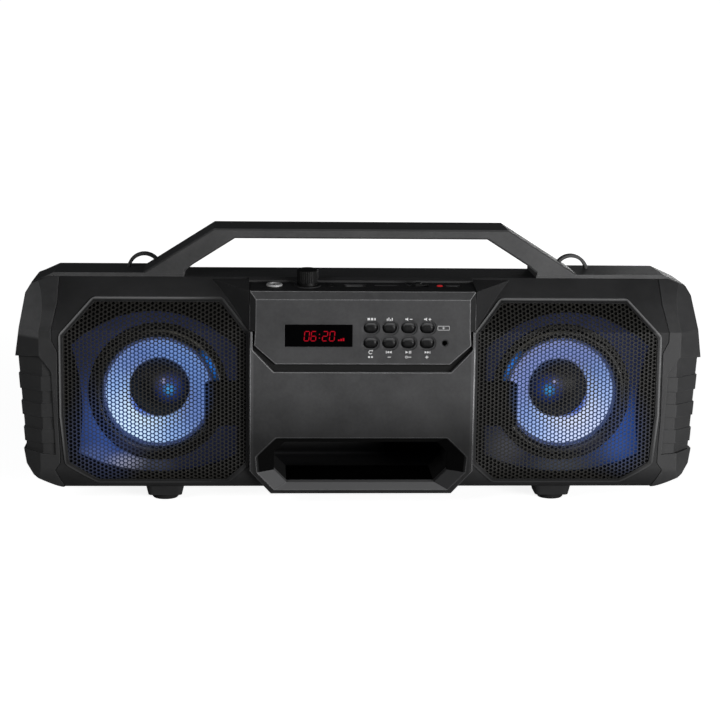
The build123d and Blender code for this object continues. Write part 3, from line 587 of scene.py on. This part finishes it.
# ---------------------------------------------------------------- perforated grilles
OPENING = [(80, 121), (97.5, 141.2), (184, 141.2), (204.6, 119), (204.6, 64), (201.6, 31), (181, 18.4),
           (93.5, 18.4), (80, 31)]          # the CAD grille's corners, in millimetres
COLUMN, PITCH = 2.67, 2.75                   # between columns of holes, and between holes in a column
HOLE = 1.16                                  # radius
UNDER_RIM = 2.1                              # how far the sheet runs in under its rim
SOLID_PAST = 0.75                            # no hole lies further outside the opening than this
SHEET = 0.8                                  # thickness


def half_planes(points):
    """Outward normals and offsets of a convex outline given clockwise."""
    planes = []
    for (x0, z0), (x1, z1) in zip(points, points[1:] + points[:1]):
        length = math.hypot(x1 - x0, z1 - z0)
        nx, nz = -(z1 - z0) / length, (x1 - x0) / length
        planes.append((nx, nz, nx * x0 + nz * z0))
    return planes


PLANES = half_planes(OPENING)


def paint_rim_highlights(b):
    """A painted highlight on each rim's outer half, with painted shade falling off to black towards the mesh
    and the floor.
    """
    where = place_on(b)
    outward = b.math("ABSOLUTE", where["X"])
    past = None
    for nx, nz, c in PLANES:
        along = b.math("ADD", b.math("MULTIPLY", outward, nx), b.math("MULTIPLY", where["Z"], nz))
        over = b.math("SUBTRACT", along, c * MM)
        past = over if past is None else b.math("MAXIMUM", past, over)
    lit = every(b, b.band(past, 0.0012, 0.0026, smooth=True),
                b.band(where["Z"], 0.025, 0.07, 0.2, 1.0, smooth=True))
    left_inner_corner = every(b, b.band(where["X"], -0.125, -0.100), b.band(where["X"], -0.060, -0.065))
    undimmed = b.math("SUBTRACT", 1.0, b.math("MULTIPLY", left_inner_corner, 0.7))
    recolor(b, every(b, lit, undimmed), (0.13, 0.13, 0.131))


paint_rim_highlights(rim)


def outside(x, z):
    """How far a point lies outside the opening. Inside it is negative."""
    return max(nx * x + nz * z - c for nx, nz, c in PLANES)


def pull_in(x, z, limit):
    """Move a point in until it is at most limit outside."""
    for _ in range(3):
        for nx, nz, c in PLANES:
            over = nx * x + nz * z - c - limit
            if over > 0:
                x, z = x - nx * over, z - nz * over
    return x, z


def front_profile(node):
    """The grille's front surface, as a function that gives y at a height."""
    tree = BVHTree.FromObject(node, bpy.context.evaluated_depsgraph_get())
    low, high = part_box(node.name)
    x = (low.x + high.x) / 2
    steps, inset, before = 150, 0.0002, -0.3
    heights = [low.z + inset + (high.z - low.z - 2 * inset) * i / steps for i in range(steps + 1)]
    depths = [tree.ray_cast(Vector((x, before, z)), Vector((0, 1, 0)))[0].y for z in heights]

    def y_at(z):
        t = (z - heights[0]) / (heights[1] - heights[0])
        i = min(max(int(t), 0), len(heights) - 2)
        return depths[i] + (depths[i + 1] - depths[i]) * (t - i)
    return y_at


def perforated(name, s, y_at):
    """A sheet of staggered round holes over the opening, curved to the pod's front."""
    bm = bmesh.new()
    seen = {}
    a, b = COLUMN, PITCH
    tip, flat = (a * a + b * b / 4) / (2 * a), (a * a - b * b / 4) / (2 * a)
    corners = [(tip, 0), (flat, b / 2), (-flat, b / 2), (-tip, 0), (-flat, -b / 2), (flat, -b / 2)]

    def vertex(x, z):
        x, z = pull_in(x, z, UNDER_RIM)
        key = (round(x, 3), round(z, 3))
        if key not in seen:
            seen[key] = bm.verts.new((s * x * MM, y_at(z * MM), z * MM))
        return seen[key]

    def face(verts):
        distinct = [v for i, v in enumerate(verts) if v not in verts[:i]]
        if len(distinct) > 2 and not bm.faces.get(distinct):
            bm.faces.new(distinct if s > 0 else distinct[::-1])

    reach = UNDER_RIM + tip
    (left, right), (bottom, top) = [(min(v), max(v)) for v in zip(*OPENING)]
    for i in range(int((left - reach) / a), int((right + reach) / a) + 2):
        for j in range(int((bottom - reach) / b) - 1, int((top + reach) / b) + 2):
            x, z = i * a, (j + 0.5 * (i % 2)) * b
            gap = outside(x, z)
            if gap > reach:
                continue
            cell = [vertex(x + dx, z + dz) for dx, dz in corners]
            if gap > SOLID_PAST:
                face(cell)
                continue
            hole = [vertex(x + HOLE * math.cos(k * math.pi / 6), z + HOLE * math.sin(k * math.pi / 6))
                    for k in range(12)]
            for k in range(6):
                m = (k + 1) % 6
                face([cell[k], cell[m], hole[2 * m], hole[2 * k + 1], hole[2 * k]])
    bmesh.ops.dissolve_degenerate(bm, dist=2e-6, edges=bm.edges[:])
    bmesh.ops.recalc_face_normals(bm, faces=bm.faces[:])
    if sum(f.normal.y * f.calc_area() for f in bm.faces) > 0:
        bmesh.ops.reverse_faces(bm, faces=bm.faces[:])
    mesh = bpy.data.meshes.new(name)
    bm.to_mesh(mesh)
    bm.free()
    obj = bpy.data.objects.new(name, mesh)
    scene.collection.objects.link(obj)
    thick = obj.modifiers.new("thickness", "SOLIDIFY")
    thick.thickness = SHEET * MM
    thick.offset = -1.0
    bpy.context.view_layer.update()
    obj.data = bpy.data.meshes.new_from_object(obj.evaluated_get(bpy.context.evaluated_depsgraph_get()))
    obj.modifiers.clear()
    return obj


def light_mesh_from_behind(b):
    """Painted lamp light on the sheets from behind, over the cones and over the lit recesses; over the cones
    the metal is also painted darker.
    """
    lamp_lights = []
    over_cones = 0.0
    for side_name, s in SIDES:
        spot = spot_of(side_name, s)
        for mask, color in recess_lights(b, side_name, spot)[:2]:
            lamp_lights.append((mask, tuple(0.4 * c for c in color)))
        near = b.band(b.blob(spot(0, 0), (0.06, 0.3, 0.06)), 0.0, 0.1)
        lit_ring = every(b, arc(b, spot(0, 1, 0), 0.030, 0.0105), near)
        over_cones = b.math("ADD", lit_ring, over_cones, clamp=True)
    shade_where(b, over_cones, 0.3)
    glow(b, lamp_lights + [(over_cones, (0.012, 0.038, 0.125))])


light_mesh_from_behind(mesh_metal)

for side_name, s in SIDES:
    cad = nodes[side_name + "_grille"]
    sheet = perforated(side_name + "_perforated_grille", s, front_profile(cad))
    wear([sheet], mesh_metal)
    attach(sheet, "chassis")
    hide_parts(cad.name)


# ---------------------------------------------------------------- flat printing and display segments
def plate(name, outlines, y_front, thick, built):
    """Thin raised shapes from (x, z) outlines in metres, which stand on the plane y_front + thick."""
    bm = bmesh.new()
    for outline in outlines:
        front = [bm.verts.new((x, y_front, z)) for x, z in outline]
        back = [bm.verts.new((x, y_front + thick, z)) for x, z in outline]
        bm.faces.new(front)
        bm.faces.new(back[::-1])
        for i in range(len(outline)):
            j = (i + 1) % len(outline)
            bm.faces.new((front[j], front[i], back[i], back[j]))
    bmesh.ops.recalc_face_normals(bm, faces=bm.faces[:])
    mesh = bpy.data.meshes.new(name)
    bm.to_mesh(mesh)
    bm.free()
    obj = bpy.data.objects.new(name, mesh)
    scene.collection.objects.link(obj)
    wear([obj], built)
    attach(obj, "chassis")
    return obj


def shifted(outline, x, z, scale=1.0):
    """An outline in millimetres, scaled and moved to a place in metres."""
    return [(x + px * scale * MM, z + pz * scale * MM) for px, pz in outline]


SEGMENTS = {"a": [(-1, 2), (1, 2)], "b": [(1, 2), (1, 0)], "c": [(1, 0), (1, -2)], "d": [(-1, -2), (1, -2)],
            "e": [(-1, 0), (-1, -2)], "f": [(-1, 2), (-1, 0)], "g": [(-1, 0), (1, 0)]}
DIGITS = {"0": "abcdef", "2": "abged", "6": "acdefg"}


def segment(start, end, half_width, gap):
    """One bar of a seven-segment figure, pointed at both ends."""
    (x0, z0), (x1, z1) = start, end
    length = math.hypot(x1 - x0, z1 - z0)
    ux, uz = (x1 - x0) / length, (z1 - z0) / length
    x0, z0, x1, z1 = x0 + ux * gap, z0 + uz * gap, x1 - ux * gap, z1 - uz * gap
    w = half_width
    points = [(x0, z0), (x0 + (ux - uz) * w, z0 + (uz + ux) * w), (x1 - (ux + uz) * w, z1 - (uz - ux) * w),
              (x1, z1), (x1 - (ux - uz) * w, z1 - (uz + ux) * w), (x0 + (ux + uz) * w, z0 + (uz - ux) * w)]
    return [(x + 0.1 * z, z) for x, z in points]


def light_display():
    """A plain clock time and a level mark in lit bars, over the unlit ones."""
    low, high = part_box("display_window")
    span_x, span_z = high.x - low.x, high.z - low.z
    unit = 0.43 * span_z / 4 / MM               # a quarter of a figure's height
    middle_z = high.z - 0.52 * span_z
    lit, unlit = [], []
    for figure, along in zip("0620", (0.325, 0.425, 0.595, 0.70)):
        for name, (start, end) in SEGMENTS.items():
            bar = shifted(segment(start, end, 0.17, 0.14), low.x + span_x * along, middle_z, unit)
            (lit if name in DIGITS[figure] else unlit).append(bar)
    for dot_z in (-0.8, 0.8):
        lit.append(shifted(rect(0, dot_z, 0.4, 0.4), low.x + span_x * 0.512, middle_z, unit))
    for i in range(3):
        base, height = -2.0, 0.6 + 0.3 * i
        lit.append(shifted(rect(0, base + height / 2, 0.72, height), low.x + span_x * (0.80 + 0.034 * i),
                           middle_z, unit))
    led_red = finish_of("segment_red", (0.02, 0.001, 0.001), 0.5, 0.05, 2600, 0.0, specular=0.0,
                        edge=0.02)
    glow(led_red, [(1.0, (0.42, 0.004, 0.014))])
    led_off = finish_of("segment_off", (0.002, 0.0006, 0.0006), 0.4, 0.05, 2600, 0.0, specular=0.05,
                        edge=0.02)
    plate("display_digits", lit, low.y - 0.00006, 0.0001, led_red)
    plate("display_unlit_segments", unlit, low.y - 0.00004, 0.0001, led_off)


def ring(cx, cz, outer, inner, start=0.0, turn=2 * math.pi, steps=20):
    """An arc of a flat ring, as small four-sided outlines."""
    quads = []
    for i in range(steps):
        a0, a1 = start + turn * i / steps, start + turn * (i + 1) / steps
        quads.append([(cx + outer * math.cos(a0), cz + outer * math.sin(a0)),
                      (cx + outer * math.cos(a1), cz + outer * math.sin(a1)),
                      (cx + inner * math.cos(a1), cz + inner * math.sin(a1)),
                      (cx + inner * math.cos(a0), cz + inner * math.sin(a0))])
    return quads


def rect(x, z, w, h):
    """A rectangle about its middle."""
    return [(x - w / 2, z - h / 2), (x + w / 2, z - h / 2), (x + w / 2, z + h / 2), (x - w / 2, z + h / 2)]


def arrow(x, z, w, h):
    """A filled triangle that points to +x, or to -x where w is negative."""
    return [(x - w / 2, z - h / 2), (x + w / 2, z), (x - w / 2, z + h / 2)]


SPEAKER = [rect(-1.5, 0, 0.7, 0.8), [(-1.1, -0.4), (-0.3, -1.0), (-0.3, 1.0), (-1.1, 0.4)]]
MINUS = rect(1.3, 0, 1.5, 0.4)


# The first symbol of each key, and the second one under some of the lower keys, in millimetres.
ICONS = {
    "mode": [rect(-1.2, 0, 1.3, 1.3), rect(0.6, 0, 1.3, 1.3), rect(2.2, 0, 0.7, 1.3)],
    "equalizer": [rect(-1.4, -0.3, 0.5, 1.2), rect(-0.5, 0, 0.5, 1.8), rect(0.4, -0.45, 0.5, 0.9),
                  rect(1.3, -0.1, 0.5, 1.6)],
    "volume_down": SPEAKER + [MINUS],
    "volume_up": SPEAKER + [MINUS, rect(1.3, 0.47, 0.4, 0.54), rect(1.3, -0.47, 0.4, 0.54)],
    "repeat": ring(0, 0, 1.15, 0.75, 0.7, 5.0, 14) + [[(0.35, 1.15), (1.45, 1.2), (1.0, 0.15)]],
    "previous": [rect(-1.7, 0, 0.35, 1.5), arrow(-0.8, 0, -1.3, 1.5), arrow(0.6, 0, -1.3, 1.5)],
    "play_pause": [arrow(-0.7, 0, 1.5, 1.5), rect(0.65, 0, 0.4, 1.5), rect(1.45, 0, 0.4, 1.5)],
    "next": [arrow(-0.6, 0, 1.3, 1.5), arrow(0.8, 0, 1.3, 1.5), rect(1.7, 0, 0.35, 1.5)],
}
SECOND = {"repeat": [rect(-0.8, 0, 1.0, 1.0), rect(0.8, 0, 1.0, 1.0)],
          "previous": [rect(0, 0, 1.8, 0.4)],
          "play_pause": ring(-0.9, 0, 0.75, 0.42, 0, 2 * math.pi, 12) + [rect(0.9, 0, 1.8, 0.4)],
          "next": [rect(0, 0, 1.8, 0.4), rect(0, 0.55, 0.4, 0.7), rect(0, -0.55, 0.4, 0.7)]}
UPPER_ROW = ("mode", "equalizer", "volume_down", "volume_up")


def key_symbols():
    """The symbols above the upper row of keys and below the lower one."""
    symbols = []
    for name, shapes in ICONS.items():
        low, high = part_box(name + "_button")
        x, z = (low.x + high.x) / 2, (low.z + high.z) / 2
        first = z + (6.1 if name in UPPER_ROW else -6.3) * MM
        symbols += [shifted(shape, x, first, 1.25) for shape in shapes]
        symbols += [shifted(shape, x, z - 9.7 * MM, 1.25) for shape in SECOND.get(name, ())]
    return symbols


def boxed_mark():
    """A light mark beside the upper row: a rounded frame round a small sun."""
    low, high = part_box("volume_up_button")
    line = 0.26
    mark = [rect(0, 1.35, 7.4, line), rect(0, -1.35, 7.4, line)]
    mark += [rect(-3.95, 0, line, 2.0), rect(3.95, 0, line, 2.0)]
    mark += ring(0, 0, 0.42, 0.0001, 0, 2 * math.pi, 10)
    for i in range(8):
        c, d = math.cos(i * math.pi / 4), math.sin(i * math.pi / 4)
        mark.append([(c * 0.6 - d * 0.1, d * 0.6 + c * 0.1), (c * 1.0 - d * 0.1, d * 1.0 + c * 0.1),
                     (c * 1.0 + d * 0.1, d * 1.0 - c * 0.1), (c * 0.6 + d * 0.1, d * 0.6 - c * 0.1)])
    for cx, cz, start in ((3.7, 1.1, 0), (-3.7, 1.1, 0.5), (-3.7, -1.1, 1.0), (3.7, -1.1, 1.5)):
        mark += ring(cx, cz, 0.38, 0.12, start * math.pi, math.pi / 2, 4)
    return [shifted(shape, high.x + 5.4 * MM, (low.z + high.z) / 2) for shape in mark]


light_display()
ink = finish_of("printed_ink", (0.55, 0.55, 0.55), 0.6, 0.1, 3000, 0.0, edge=0.02, mottled=0.05)
panel_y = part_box("control_panel")[0].y
plate("panel_print", key_symbols() + boxed_mark(), panel_y - 0.00003, 0.00006, ink)


# ---------------------------------------------------------------- floor
def pale_floor():
    """A wide sheet of white paper, near white where the camera looks straight at it."""
    bm = bmesh.new()
    bmesh.ops.create_grid(bm, x_segments=8, y_segments=8, size=120)
    mesh = bpy.data.meshes.new("floor")
    bm.to_mesh(mesh)
    bm.free()
    floor = bpy.data.objects.new("floor", mesh)
    floor.location.z = -0.0002
    scene.collection.objects.link(floor)
    paper = Build("paper_floor")
    paper.shader.inputs["Roughness"].default_value = 0.9
    paper.shader.inputs["Specular IOR Level"].default_value = 0.1
    paper.join(paper.mix(paper.band(paper.noise(3.0), 0.3, 0.7), (0.6, 0.6, 0.6), (0.64, 0.64, 0.64)),
               paper.shader.inputs["Base Color"])
    away = paper.add("ShaderNodeVectorMath", operation="LENGTH")
    paper.join(paper.place, away.inputs[0])
    seen = paper.add("ShaderNodeLightPath").outputs["Is Camera Ray"]
    bright = every(paper, seen, paper.band(away.outputs["Value"], 0.2, 1.5, 0.88, 1.0, smooth=True))
    glow(paper, [(bright, (1, 1, 1))])
    floor.data.materials.append(paper.material)
    return floor


pale_floor()
